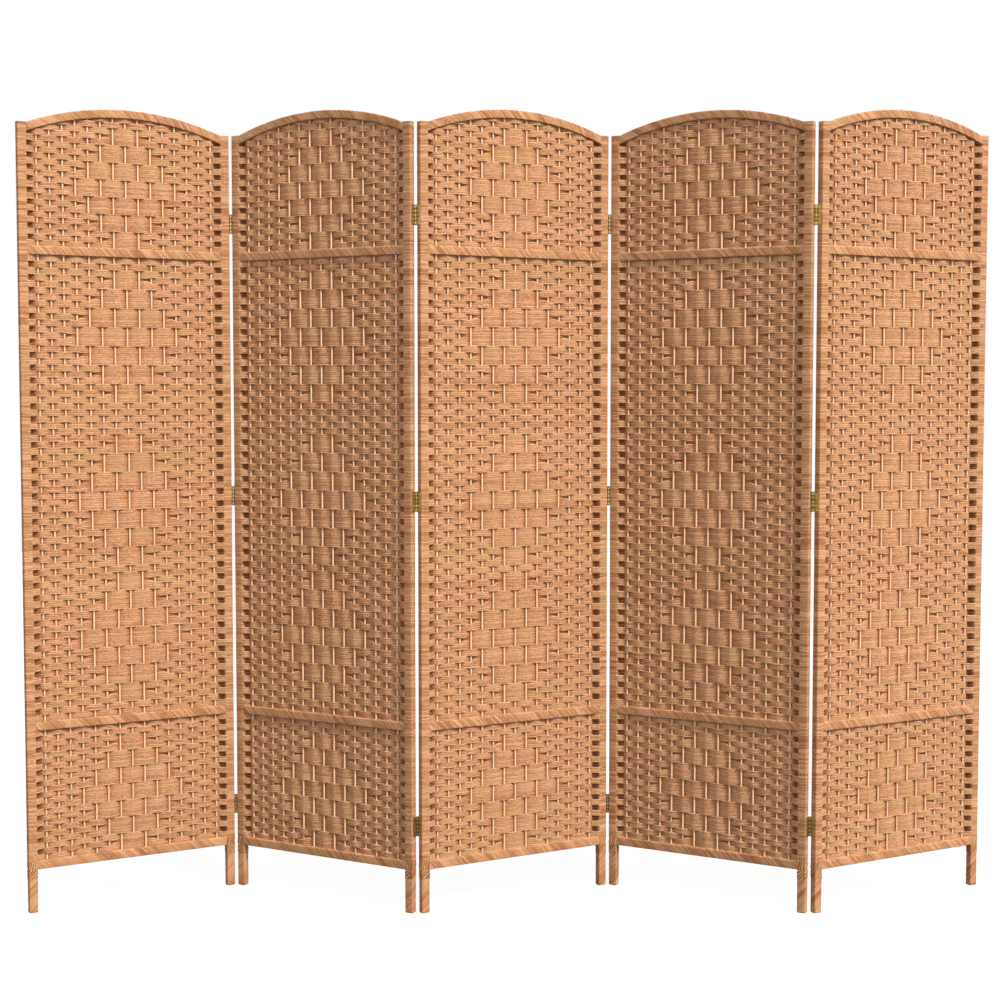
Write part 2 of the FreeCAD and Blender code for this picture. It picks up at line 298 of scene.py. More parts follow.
class ScreenSettings(bpy.types.PropertyGroup):
    """All sizes and finishes of the folding screen"""
    frame: PointerProperty(type=FrameSizes, name="Frame", description="The wound frame")
    weave: PointerProperty(type=WeaveSizes, name="Weave", description="Bands and stakes")
    winding: PointerProperty(type=WindingSizes, name="Winding", description="Cord on the bars")
    hinges: PointerProperty(type=HingeSizes, name="Hinges", description="Brass hinges")
    finishes: PointerProperty(type=Finishes, name="Finishes", description="Colours")
    studio: PointerProperty(type=StudioSettings, name="Studio", description="Camera and lights")


def add_node(tree, kind, inputs=(), **settings):
    """One shader node with its settings. Its inputs are in order, or by name or number. Each is a value, or a
    link from an output of another node; a node stands for its first output in use."""
    made = tree.nodes.new("ShaderNode" + kind)
    for name, value in settings.items():
        setattr(made, name, value)
    for name, value in inputs.items() if isinstance(inputs, dict) else enumerate(inputs):
        if isinstance(value, bpy.types.Node):
            value = next(output for output in value.outputs if output.enabled)
        if isinstance(value, bpy.types.NodeSocket):
            tree.links.new(value, made.inputs[name])
        else:
            made.inputs[name].default_value = value
    return made


def new_material(name):
    """An empty material, and what adds a node to it."""
    material = bpy.data.materials.new(name)
    material.use_nodes = True
    material.node_tree.nodes.clear()
    return material, partial(add_node, material.node_tree)


def lay_surface(add, colour, roughness, height, strength, distance, sockets):
    """The shader of a finish: its colour and roughness, its relief, and what the other sockets hold."""
    bump = add("Bump", {"Strength": strength, "Distance": distance, "Height": height})
    shader = add("BsdfPrincipled", {"Base Color": colour, "Roughness": roughness, "Normal": bump, **sockets})
    add("OutputMaterial", {"Surface": shader})


def paper_fibre(name, grooves, lots, cords):
    """Twisted paper fibre: strips of kraft paper spun into cord, matt, lighter and darker along each cord.
    It takes how dark the grooves are, and how much lots of cord and single cords differ."""
    material, add = new_material(name)
    finishes, weave = screen().finishes, screen().weave
    # the map holds metres along the cord, and the number of cords across
    run = add("UVMap", uv_map="cord_run")
    along, across, _ = add("SeparateXYZ", (run,)).outputs
    cord = add("Math", (across,), operation="FLOOR")
    inside = add("Math", (across,), operation="FRACT")
    cord_tone = add("TexWhiteNoise", {"W": cord}, noise_dimensions="1D")
    band = add("Math", (across, weave.cords + 2.0), operation="DIVIDE")
    band_number = add("Math", (band,), operation="FLOOR")
    band_tone = add("TexWhiteNoise", {"W": band_number}, noise_dimensions="1D")
    # cord from one lot to the next, about 10 cords wide
    lot_place = add("Math", (across, 1 / 10), operation="MULTIPLY")
    lot = add("TexNoise", {"W": lot_place, "Scale": 1.0, "Detail": 2.0}, noise_dimensions="1D")
    lot_tone = add("Math", (lot, lots, -0.5 * lots), operation="MULTIPLY_ADD")

    def streaks(length, across_it, number, detail, roughness=0.5):
        """Noise in streaks of a length in metres, and about so many of them side by side."""
        long_place = add("Math", (along, 1 / length), operation="MULTIPLY")
        wide_place = add("Math", (across_it, number), operation="MULTIPLY")
        place = add("CombineXYZ", (long_place, wide_place))
        return add("TexNoise", {"Vector": place, "Scale": 1.0, "Detail": detail, "Roughness": roughness})

    # light and dark stretches about 20 mm long, which differ from cord to cord
    stretches = streaks(0.020, cord, 3.7, 2.0, 0.6)
    # fibres of the paper, 3 mm long and a fifth of a cord wide
    fibres = streaks(0.003, across, 5.0, 1.0)
    # mottles 5 mm long, from strips of paper that took the dye unevenly
    mottles = streaks(0.005, across, 1.3, 1.0)
    # twist of the cord: a turn each 6 mm, drawn a third coarser than it is so that it shows
    turn = add("Math", (along, 1 / 0.006, across), operation="MULTIPLY_ADD")
    angle = add("Math", (turn, 2 * math.pi), operation="MULTIPLY")
    twist = add("Math", (angle,), operation="SINE")
    # tone of a spot: its lot, its cord, its stretch, its mottle and the strip of paper that comes round
    tone = add("Math", (lot_tone, -1.1 - 0.39 * cords), operation="ADD")
    for pattern, share in ((cord_tone, cords), (stretches, 1.45), (mottles, 1.65)):
        tone = add("Math", (pattern, share, tone), operation="MULTIPLY_ADD")
    tone = add("Math", (twist, 0.14, tone), operation="MULTIPLY_ADD", use_clamp=True)
    light, dark = rgba(finishes.fibre_light), rgba(finishes.fibre_dark)
    plain = add("Mix", {SHARE: tone, FIRST: light, SECOND: dark}, data_type="RGBA")
    # some cords of some bands have a straw tint
    cord_hue = add("SeparateColor", (cord_tone.outputs["Color"],))
    both_hues = add("Math", (band_tone, cord_hue.outputs["Blue"]), operation="MULTIPLY")
    straw = add("Math", (both_hues, 0.85), operation="MULTIPLY")
    tinted = add("Mix", {SHARE: straw, FIRST: plain, SECOND: rgba(finishes.fibre_straw)}, data_type="RGBA")
    # a cord is darker in the groove at each side, where little light gets in
    side = add("Math", (inside, 0.5), operation="SUBTRACT")
    edge = add("Math", (side,), operation="ABSOLUTE")
    groove = add("MapRange", (edge, 0.3, 0.5, 0.0, grooves))
    bottom = rgba(finishes.fibre_dark, (0.48, 0.34, 0.20))
    shaded = add("Mix", {SHARE: groove, FIRST: tinted, SECOND: bottom}, data_type="RGBA")
    # painted shade: warmer and darker where other cords and stakes keep the light off it, and under the arch
    # and the rails
    shelter = add("Attribute", attribute_name="shelter")
    less = add("Math", (shelter.outputs["Fac"], 0.7), operation="MULTIPLY")
    shade = (0.60, 0.37, 0.19, 1.0)
    deep = add("Mix", {SHARE: 1.0, FIRST: shaded, SECOND: shade}, data_type="RGBA", blend_type="MULTIPLY")
    sheltered = add("Mix", {SHARE: less, FIRST: shaded, SECOND: deep}, data_type="RGBA")
    relief = add("Math", (fibres, 1.5, twist), operation="MULTIPLY_ADD")
    rough = add("MapRange", (fibres, 0.3, 0.7, 0.66, 0.84))
    lay_surface(add, sheltered, rough, relief, 0.35, 0.0003, {
        "IOR": 1.46,
        "Specular IOR Level": 0.15,
        "Sheen Weight": 0.03,
        "Sheen Roughness": 0.5,
    })
    return material


def peeled_bamboo(name):
    """Peeled bamboo: split and drawn round, pale, with satin lines of fibre along its length."""
    material, add = new_material(name)
    colour = screen().finishes.bamboo
    run = add("UVMap", uv_map="cord_run")
    # bundles of fibre 60 mm long and 0.6 mm wide; the map holds metres up the stake, and tenths of a turn
    lines_place = add("VectorMath", (run, (1 / 0.06, 2.0, 1.0)), operation="MULTIPLY")
    lines = add("TexNoise", {"Vector": lines_place, "Scale": 1.0, "Detail": 3.0})
    # blotches 200 mm long and half a turn wide
    blotch_place = add("VectorMath", (run, (1 / 0.2, 0.2, 1.0)), operation="MULTIPLY")
    blotches = add("TexNoise", {"Vector": blotch_place, "Scale": 1.0, "Detail": 1.0})
    tone = add("Math", (lines, 1.5, -0.6), operation="MULTIPLY_ADD", use_clamp=True)
    brown, tan = rgba(colour, (0.72, 0.6, 0.45)), rgba(colour, (0.93, 0.85, 0.7))
    streaked = add("Mix", {SHARE: tone, FIRST: rgba(colour), SECOND: brown}, data_type="RGBA")
    warm = add("MapRange", (blotches, 0.35, 0.65, 0.0, 0.9))
    tinted = add("Mix", {SHARE: warm, FIRST: streaked, SECOND: tan}, data_type="RGBA")
    rough = add("MapRange", (lines, 0.3, 0.7, 0.38, 0.55))
    lay_surface(add, tinted, rough, lines, 0.3, 0.0002, {"IOR": 1.5})
    return material


def knuckle_joints(add, spot, metal, number):
    """Dark joints between the knuckles of a panel's hinges, drawn 3 mm wide, so coarse that they show."""
    hinges = screen().hinges
    height = add("SeparateXYZ", (spot,)).outputs["Z"]
    # level of the hinge that a spot is on
    level = 0.0
    for middle in hinges.levels:
        near = add("Math", (height, middle, hinges.height), operation="COMPARE")
        level = add("Math", (near, middle, level), operation="MULTIPLY_ADD")
    up = add("Math", (height, level), operation="SUBTRACT")
    knuckles = hinges.knuckles
    knuckle = add("Math", (up, knuckles / hinges.height, knuckles / 2), operation="MULTIPLY_ADD")
    to_joint = add("Math", (knuckle, 0.5), operation="PINGPONG")
    line = add("MapRange", (to_joint, 0.08, 0.28, 1.0, 0.0))
    # the barrel is the part that stands in front of the panel, or behind it
    place = panel_place(number)
    middle, facing = place.to_translation(), place.col[1].to_3d()
    out = add("VectorMath", (spot, facing), operation="DOT_PRODUCT")
    from_middle = add("Math", (out, -facing.dot(middle)), operation="ADD")
    proud = add("Math", (from_middle,), operation="ABSOLUTE")
    barrel = add("Math", (proud, hinges.barrel_back), operation="GREATER_THAN")
    # the leaves get the same dark lines beside each joint, at half the barrel's strength
    share = add("Math", (barrel, 0.45, 0.45), operation="MULTIPLY_ADD")
    dark = add("Math", (line, share), operation="MULTIPLY")
    grime = rgba(screen().finishes.brass, (0.2, 0.13, 0.06))
    return add("Mix", {SHARE: dark, FIRST: metal, SECOND: grime}, data_type="RGBA")


def rolled_brass(name, number=None):
    """Rolled brass: satin yellow metal, tarnished a little browner in patches, with fine rolling lines."""
    material, add = new_material(name)
    colour = screen().finishes.brass
    spot = add("TexCoord").outputs["Object"]
    # rolling lines 0.4 mm apart, up the leaf; tarnish in patches of 8 mm
    lines_place = add("VectorMath", (spot, (1 / 0.0004, 1 / 0.0004, 1 / 0.02)), operation="MULTIPLY")
    lines = add("TexNoise", {"Vector": lines_place, "Scale": 1.0, "Detail": 1.0})
    tarnish = add("TexNoise", {"Vector": spot, "Scale": 1 / 0.008, "Detail": 3.0})
    dull = add("MapRange", (tarnish, 0.42, 0.68, 0.0, 0.7))
    brown = rgba(colour, (0.5, 0.44, 0.36))
    metal = add("Mix", {SHARE: dull, FIRST: rgba(colour), SECOND: brown}, data_type="RGBA")
    if number:
        metal = knuckle_joints(add, spot, metal, number)
    rough = add("MapRange", (tarnish, 0.4, 0.7, 0.28, 0.5))
    lay_surface(add, metal, rough, lines, 0.15, 0.0001, {"Metallic": 1.0})
    return material


def planed_pine(name):
    """Planed pine: pale softwood, matt, with darker latewood lines along the grain."""
    material, add = new_material(name)
    colour = screen().finishes.pine
    spot = add("TexCoord").outputs["Object"]
    # growth lines 2 mm apart that run up the stile
    grain_place = add("VectorMath", (spot, (1 / 0.002, 1 / 0.002, 1 / 0.12)), operation="MULTIPLY")
    grain = add("TexNoise", {"Vector": grain_place, "Scale": 1.0, "Detail": 3.0, "Distortion": 0.4})
    tone = add("MapRange", (grain, 0.4, 0.65, 0.0, 0.8))
    latewood = rgba(colour, (0.66, 0.5, 0.36))
    wood = add("Mix", {SHARE: tone, FIRST: rgba(colour), SECOND: latewood}, data_type="RGBA")
    rough = add("MapRange", (grain, 0.3, 0.7, 0.55, 0.72))
    lay_surface(add, wood, rough, grain, 0.2, 0.0002, {"IOR": 1.5})
    return material


def white_paper(name):
    """White studio paper: matt, with a faint tooth, bright enough to lose its edge against the backdrop."""
    material, add = new_material(name)
    # tooth of the paper, about 1 mm
    spot = add("TexCoord").outputs["Object"]
    tooth = add("TexNoise", {"Vector": spot, "Scale": 1 / 0.001, "Detail": 2.0})
    # the camera sees it glow, and the screen isn't lit from below
    seen = add("LightPath").outputs["Is Camera Ray"]
    glow = add("Math", (seen, screen().studio.floor_glow), operation="MULTIPLY")
    lay_surface(add, rgba(linear("#5a5a5a")), 0.9, tooth, 0.05, 0.0002, {
        "Specular IOR Level": 0.1,
        "Emission Color": (1, 1, 1, 1),
        "Emission Strength": glow,
    })
    return material


def material_of(maker, name, *words):
    """The material of that name, made the first time that it is asked for."""
    return bpy.data.materials.get(name) or maker(name, *words)


def wound_fibre():
    return material_of(paper_fibre, "Twisted paper fibre, wound", 1.0, 1.5, 1.0)


def add_object(name, data):
    """An object of the scene that holds a mesh, a lamp or a camera."""
    made = bpy.data.objects.new(name, data)
    bpy.context.scene.collection.objects.link(made)
    return made


def piece(kind, number, sheets, material, replaced):
    """One piece of a panel from sheets: each is (points, map) or (points, map, painted shade), rows by
    columns by
    3, by 2 and by none. It rides on the panel, and stands for one of its nodes."""
    corners, marks, shelters, faces, start = [], [], [], [], 0
    for points, run, *shelter in sheets:
        rows, columns = points.shape[:2]
        index = np.arange(rows * columns).reshape(rows, columns) + start
        quads = np.stack([index[:-1, :-1], index[:-1, 1:], index[1:, 1:], index[1:, :-1]], -1).reshape(-1, 4)
        flat = points.reshape(-1, 3)
        # faces look outwards when the volume they close is positive
        first, second, third, fourth = (flat[quads - start] - flat.mean(0)).transpose(1, 0, 2)
        volume = (first * (np.cross(second, third) + np.cross(third, fourth))).sum()
        corners.append(flat)
        marks.append(run.reshape(-1, 2))
        shelters.append(shelter[0].ravel() if shelter else np.zeros(rows * columns))
        faces.append(quads if volume >= 0 else quads[:, ::-1])
        start += rows * columns
    corners, marks, faces = np.concatenate(corners), np.concatenate(marks), np.concatenate(faces)
    name = f"{kind}_{number}"
    mesh = bpy.data.meshes.new(name)
    mesh.vertices.add(len(corners))
    mesh.vertices.foreach_set("co", corners.astype(np.float32).ravel())
    mesh.loops.add(faces.size)
    mesh.loops.foreach_set("vertex_index", faces.astype(np.int32).ravel())
    mesh.polygons.add(len(faces))
    mesh.polygons.foreach_set("loop_start", np.arange(0, faces.size, 4, dtype=np.int32))
    mesh.update(calc_edges=True)
    layer = mesh.uv_layers.new(name="cord_run")
    layer.uv.foreach_set("vector", marks[faces.ravel()].astype(np.float32).ravel())
    # the painted shade goes to the material as a point attribute
    if any(shelter.any() for shelter in shelters):
        sheltered = mesh.attributes.new("shelter", "FLOAT", "POINT")
        sheltered.data.foreach_set("value", np.concatenate(shelters).astype(np.float32))
    mesh.shade_smooth()
    mesh.materials.append(material)
    made = add_object(name, mesh)
    made.matrix_world = panel_place(number)
    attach(made, f"panel_{number}")
    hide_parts(f"{replaced}_{number}")


def grid(*parts):
    """One grid from numbers and grids that fit each other: its last axis has one place for each."""
    return np.stack(np.broadcast_arrays(*parts), -1)


def waves(rng, at, reach):
    """A smooth irregular line, within about one either way, that turns every reach metres."""
    shares = (1.0, 0.6, 0.37)
    total = np.zeros_like(at)
    for share in shares:
        total += share * np.sin(at / (reach * share) * 2 * math.pi + rng.uniform(0, 2 * math.pi))
    return total / sum(shares)


def rounded_section(width, depth, steps=4):
    """Round a bar from its back's middle: rows of across, back, outward across, outward back and distance."""
    corner = screen().frame.corner
    points = [(0.0, depth / 2, 0.0, 1.0)]
    for quarter, (side, back) in enumerate(((1, 1), (1, -1), (-1, -1), (-1, 1))):
        for step in range(steps + 1):
            angle = math.pi / 2 - (quarter + step / steps) * math.pi / 2
            out = (math.cos(angle), math.sin(angle))
            across = side * (width / 2 - corner) + corner * out[0]
            points.append((across, back * (depth / 2 - corner) + corner * out[1], *out))
        if quarter == 1:
            points.append((0.0, -depth / 2, 0.0, -1.0))
    points = np.array([*points, points[0]]).T
    distance = np.concatenate([[0.0], np.cumsum(np.hypot(*np.diff(points[:2])))])
    return np.vstack([points, distance])[:, None, :]


def winding(section, edges, lean, ends, rng, first_cord, depth=1.0):
    """Cord wound round a bar. Edges are the grooves' places along it at its back, lean is travel along it for
    each metre round it, and depth a share of the grooves'. Gives along, across, back and the map."""
    across, back, out_across, out_back, distance = section
    groove = screen().winding.groove * depth
    places = np.empty((2 * len(edges) - 1, 1))
    places[0::2, 0], places[1::2, 0] = edges, (edges[:-1] + edges[1:]) / 2
    inset = np.empty_like(places)
    inset[0::2, 0] = groove * rng.uniform(*WOUND_GROOVES, len(edges))
    inset[1::2, 0] = groove * rng.uniform(*WOUND_CROWNS, len(edges) - 1)
    inset -= screen().winding.crown
    along = np.clip(places + lean * distance, *ends)
    cords = first_cord + np.arange(len(places))[:, None] / 2
    run = grid(distance * math.hypot(1, lean), cords)
    return along, across - out_across * inset, back - out_back * inset, run


def arch_line():
    """Outer radius of the arch, the level of its centre and half its span."""
    sizes = screen().frame
    half = sizes.stile_spread / 2 - sizes.stile_width / 2
    rise = sizes.arch_top - sizes.stile_top
    radius = (half ** 2 + rise ** 2) / (2 * rise)
    return radius, sizes.arch_top - radius, half


def field_rows():
    """Every row of the weave from the floor up: (piece, bottom, top, stakes that show). A band passes behind
    a stake that shows and over one that doesn't. The stiles count as stakes."""
    sizes, weave = screen().frame, screen().weave
    last = weave.stakes + 1
    lower_height = sizes.lower_rail - sizes.bottom_rail - sizes.rail_height
    middle_height = sizes.upper_rail - sizes.lower_rail - sizes.rail_height
    upper_bottom = sizes.upper_rail + sizes.rail_height
    # of each field: where it starts, the height and number of its rows, and the first rows of its diamonds
    fields = (
        ("lower", sizes.lower_rail, -lower_height / weave.lower_rows, weave.lower_rows, (2,)),
        ("middle", sizes.upper_rail, -middle_height / weave.middle_rows, weave.middle_rows, (2, 28, 50)),
        ("upper", upper_bottom, weave.upper_row, weave.upper_rows, (0,)),
    )
    rows = []
    for field, level, step, count, diamonds in fields:
        for number in range(count):
            shows = {stake for stake in range(last + 1) if stake % 2 == (number + 1) % 2}
            for first in diamonds:
                block = (number - first) // ROWS_IN_BLOCK
                if number >= first and block < len(DIAMOND):
                    picked = DIAMOND[block]
                    shows -= set(range(picked[0], picked[-1] + 1))
                    shows |= set(picked)
            # the middle field is three pieces, which are a third of its rows each
            name = field if field != "middle" else f"middle_{'abc'[min(2, number * 3 // count)]}"
            ends = (level + step * number, level + step * number + step)
            rows.append((name, min(ends), max(ends), shows))
    return sorted(rows, key=lambda row: row[1])


def bulging_cells(rows):
    """For every row, the spans where it bulges up and where it bulges down. There the next row lies behind
    both stakes, and leaves room in front."""
    behind = [{stake for stake in shows if stake + 1 in shows} for _, _, _, shows in rows]

    def free(row, other):
        if not 0 <= other < len(rows):
            return set()
        low, high = sorted((row, other))
        return behind[other] - behind[row] if rows[high][1] - rows[low][2] < GAP else set()

    return [(free(row, row + 1), free(row, row - 1)) for row in range(len(rows))]


def stake_place(number):
    """Where a stake stands along the panel; 0 and the one after the last are the stiles' inner faces."""
    weave = screen().weave
    half = arch_line()[2]
    if number == 0:
        return -half
    if number == weave.stakes + 1:
        return half
    return (number - (weave.stakes + 1) / 2) * weave.stake_pitch


def band_depths():
    """How far before or behind the middle a band passes a stake, and a stile."""
    weave, sizes = screen().weave, screen().frame
    half = weave.band_thickness / 2
    return weave.stake_thickness / 2 + half, sizes.stile_depth / 2 - half


def band_line(shows, bulges, reach):
    """Columns for the line of a band, cut off at a reach either way: along, back, bulge up and bulge down."""
    weave = screen().weave
    over, flush = band_depths()
    last = weave.stakes + 1
    stops, sides = [], []
    for stake in range(last + 1):
        behind = 1.0 if stake in shows else -1.0
        stops.append(stake_place(stake))
        sides.append(behind * (flush if stake in (0, last) else over))
    along, back, rise, sag = [], [], [], []
    for stake in range(last):
        steps = END_SPAN_STEPS if stake in (0, last - 1) else SPAN_STEPS
        share = np.arange(steps) / steps
        along.append(stops[stake] + (stops[stake + 1] - stops[stake]) * share)
        bulge = np.sin(math.pi * share) ** BULGE_POWER
        rise.append(bulge * (stake in bulges[0]))
        sag.append(bulge * (stake in bulges[1]))
        # a band stays behind a stile until it clears it, and leaves a dark hole there
        if stake == 0 and sides[0] > 0:
            share = np.clip((share - weave.hidden) / (1 - weave.hidden), 0, 1)
        if stake == last - 1 and sides[-1] > 0:
            share = np.clip(share / (1 - weave.hidden), 0, 1)
        turn = STRAIGHT * share + (1 - STRAIGHT) / 2 * (1 - np.cos(math.pi * share))
        back.append(sides[stake] + (sides[stake + 1] - sides[stake]) * turn)
    # each end lies on the stile and goes into its winding
    along = np.concatenate([stops[0] - END_STEPS[:0:-1], *along, stops[-1] + END_STEPS])
    back = np.concatenate([sides[0] * END_DEPTHS[:0:-1], *back, sides[-1] * END_DEPTHS])
    level = 0 * END_STEPS
    rise, sag = (np.concatenate([level[1:], *bulge, level]) for bulge in (rise, sag))
    line = (along, back, rise, sag)
    inside = np.abs(along) <= reach
    if not inside.all():
        edge = (-reach, reach)
        ends = (edge, np.interp(edge, along, back), (0.0, 0.0), (0.0, 0.0))
        line = [[low, *column[inside], high] for column, (low, high) in zip(line, ends)]
    return np.array(line)[:, :, None]


def woven_row(bottom, top, line, rng, panel_wave, cord_number):
    """One band of cords on its line: its points, their map and how much painted shade they get."""
    weave, sizes = screen().weave, screen().frame
    over, flush = band_depths()
    radius, centre, half = arch_line()
    along, back, rise, sag = line
    # it neither sways nor drifts at the stiles
    free = np.clip(1 - (along / half) ** 8, 0, 1)
    back = back * (1 + SWAY * waves(rng, along, SWAY_LENGTH) * free)
    middle = (bottom + top) / 2
    # the cords spread behind a stile, so that no light comes through the hole
    spread = 1 + FANNING * np.clip((back - over) / (flush - over), 0, 1)
    height = (top - bottom) * weave.fullness * spread
    drift = panel_wave(along, middle) + OWN_DRIFT * waves(rng, along, OWN_DRIFT_LENGTH)
    drift *= weave.drift * free
    # round the band: a groove and the two shoulders of each cord up the front, then down the back
    cords = weave.cords
    shoulders = [np.arange(cords) + place for place in SHOULDERS]
    front = np.sort(np.concatenate([np.arange(cords + 1.0), *shoulders]))
    ring = np.concatenate([front, front[-2:0:-1]])
    facing = np.concatenate([-np.ones(len(front)), np.ones(len(front) - 2)])
    depth = np.where(ring % 1 > 0, SHOULDER_DEPTH, GROOVE_DEPTH) * weave.band_thickness
    depth[[0, len(front) - 1]] = 0.0
    stout = rng.uniform(*STOUTNESS, (2, cords))
    depth *= stout[(facing > 0).astype(int), np.minimum(ring.astype(int), cords - 1)]
    # the ring closes on its first point, and is a row
    closed = np.append(np.arange(len(ring)), 0)
    ring, facing, depth = ring[None, closed], facing[None, closed], depth[None, closed]
    up = ring / cords - 0.5
    z = middle + drift + height * up
    z = z + (top - bottom) * (weave.rise * rise * (0.5 + up) - weave.sag * sag * (0.5 - up))
    # painted shade where it passes behind a stake, as seen from the side that it faces
    deep = np.clip(-facing * back / over, 0, 1) ** 1.5
    # and painted shade right under the arch or a rail
    under = radius - sizes.arch_band - np.hypot(along, np.maximum(z - centre, 0))
    for level in (sizes.lower_rail, sizes.upper_rail):
        below = level - z
        under = np.where(below > -GAP, np.minimum(under, below), under)
    under = np.clip(1 - under / weave.under_rail, 0, 1)
    return grid(along, back + facing * depth, z), grid(along, cord_number + ring), np.maximum(deep, under)


class SCREEN_OT_woven_bands(bpy.types.Operator):
    """Weave the bands of cord between the stiles of every panel"""
    bl_idname = "screen.woven_bands"
    bl_label = "Woven Bands"

    def execute(self, context):
        weave = screen().weave
        radius, centre, half = arch_line()
        rows = field_rows()
        cells = bulging_cells(rows)
        # how much of the arch is left over a band that ends in it
        cover = 0.003
        material = material_of(paper_fibre, "Twisted paper fibre, woven", 0.75, 0.4, 0.45)
        for number in PANELS:
            panel_rng = np.random.default_rng(weave.seed + 1000 * number)
            phases = panel_rng.uniform(0, 2 * math.pi, 4)

            def panel_wave(along, level):
                """How rows drift together, so that they don't part: long waves that lean either way."""
                leaning = np.sin(along / 0.19 + level / 0.31 + phases[0])
                leaning = leaning + np.sin(along / 0.083 - level / 0.22 + phases[1])
                return (leaning + np.sin(level / 0.12 + phases[2])) / 2.2

            fields = {}
            for order, ((field, bottom, top, shows), bulges) in enumerate(zip(rows, cells)):
                # no row is left above the arch's lower edge
                if bottom - centre >= radius - screen().frame.arch_band:
                    continue
                reach = half + END_STEPS[-1]
                rise = top - centre + cover
                if 0 < rise < radius:
                    reach = min(reach, math.sqrt(radius ** 2 - rise ** 2))
                rng = np.random.default_rng(weave.seed + 1000 * number + order)
                first_cord = (weave.cords + 2.0) * (order + 200 * number)
                line = band_line(shows, bulges, reach)
                fields.setdefault(field, []).append(woven_row(bottom, top, line, rng, panel_wave, first_cord))
            for field, sheets in fields.items():
                piece(f"woven_bands_{field}", number, sheets, material, "weft")
        return {"FINISHED"}


class SCREEN_OT_bamboo_stakes(bpy.types.Operator):
    """Stand the bamboo stakes in every panel"""
    bl_idname = "screen.bamboo_stakes"
    bl_label = "Bamboo Stakes"

    def execute(self, context):
        weave, sizes = screen().weave, screen().frame
        radius, centre, _ = arch_line()
        foot = sizes.bottom_rail + sizes.rail_height - STAKE_TENON
        turn = np.linspace(0, 2 * math.pi, STAKE_SIDES + 1)[None, :]
        material = material_of(peeled_bamboo, "Peeled bamboo")
        for number in PANELS:
            rng = np.random.default_rng(weave.seed + 77 * number)
            sheets = []
            for stake in range(1, weave.stakes + 1):
                x = stake_place(stake)
                head = centre + math.sqrt((radius - sizes.arch_band) ** 2 - x ** 2) + STAKE_TENON
                levels = np.linspace(foot, head, STAKE_RINGS)[:, None]
                waver = STAKE_WAVER * waves(rng, levels, STAKE_WAVER_LENGTH)
                thick = weave.stake_thickness / 2 * (STAKE_SHARE + waver)
                oval = 1 - STAKE_OVAL * np.cos(2 * (turn + rng.uniform(0, math.pi))) - STAKE_OVAL
                bend = STAKE_BEND * waves(rng, levels, STAKE_BEND_LENGTH)
                points = grid(x + bend + thick * (np.cos(turn) * oval), thick * (np.sin(turn) * oval), levels)
                # the map has 10 to a turn, and 20 from one stake to the next
                around = 10 * turn / (2 * math.pi) + 20 * (stake + 20 * number)
                sheets.append((points, grid(levels, around)))
            piece("bamboo_stakes", number, sheets, material, "stakes")
        return {"FINISHED"}


def lashing(x, section, ends, lean, first_cord):
    """A sheet of thick cord lashed to a bar between two levels. Lean is travel round it for each metre up."""
    *sides, distance = section[:, 0]
    cord = screen().winding
    thick = LASHING_CORD * cord.cord
    steps = LASHING_POINTS / thick
    around = np.linspace(0, distance[-1], round(distance[-1] * steps) + 1)[None, :]
    levels = np.linspace(*ends, round((ends[1] - ends[0]) * steps) + 1)[:, None]
    phase = (around - lean * (levels - ends[0])) / (thick * math.hypot(1, lean))
    # the pattern closes on itself round the bar
    turns = phase[0, -1] - phase[0, 0]
    phase *= max(1, round(turns)) / turns
    # 1 in a groove and 0 on the crown of a cord
    groove = 2 * np.abs(phase % 1 - 0.5)
    # both ends are drawn in by 0.9 mm over their last 1.6 mm
    taper = np.clip(np.minimum(levels - ends[0], ends[1] - levels) / 0.0016, 0, 1) ** 0.5
    inset = cord.groove * (1.9 * groove ** 3 - 0.3) + (1 - taper) * 0.0009
    across, back, out_across, out_back = (np.interp(around, distance, side) for side in sides)
    across, back = across - out_across * inset, back - out_back * inset
    # painted shade in its grooves: 1 in a groove's middle and 0 on a crown, squared
    return grid(x + across, back, levels), grid(levels + 0.5 * across, first_cord + phase), groove ** 2


def stile_grooves(knee):
    """Levels of a stile's grooves above its knee: where the bands have them, and evenly beside the rails."""
    stile_top, cord = screen().frame.stile_top, screen().winding.cord

    def evenly(low, high):
        return list(np.linspace(low, high, max(1, round((high - low) / cord)) + 1))

    edges, level = [], knee
    for _, bottom, top, _ in field_rows():
        if top > stile_top:
            break
        if bottom - level > GAP:
            edges += evenly(level, bottom)[:-1]
        edges += list(np.linspace(bottom, top, screen().weave.cords + 1)[:-1])
        level = top
    return np.array(edges + evenly(level, stile_top))


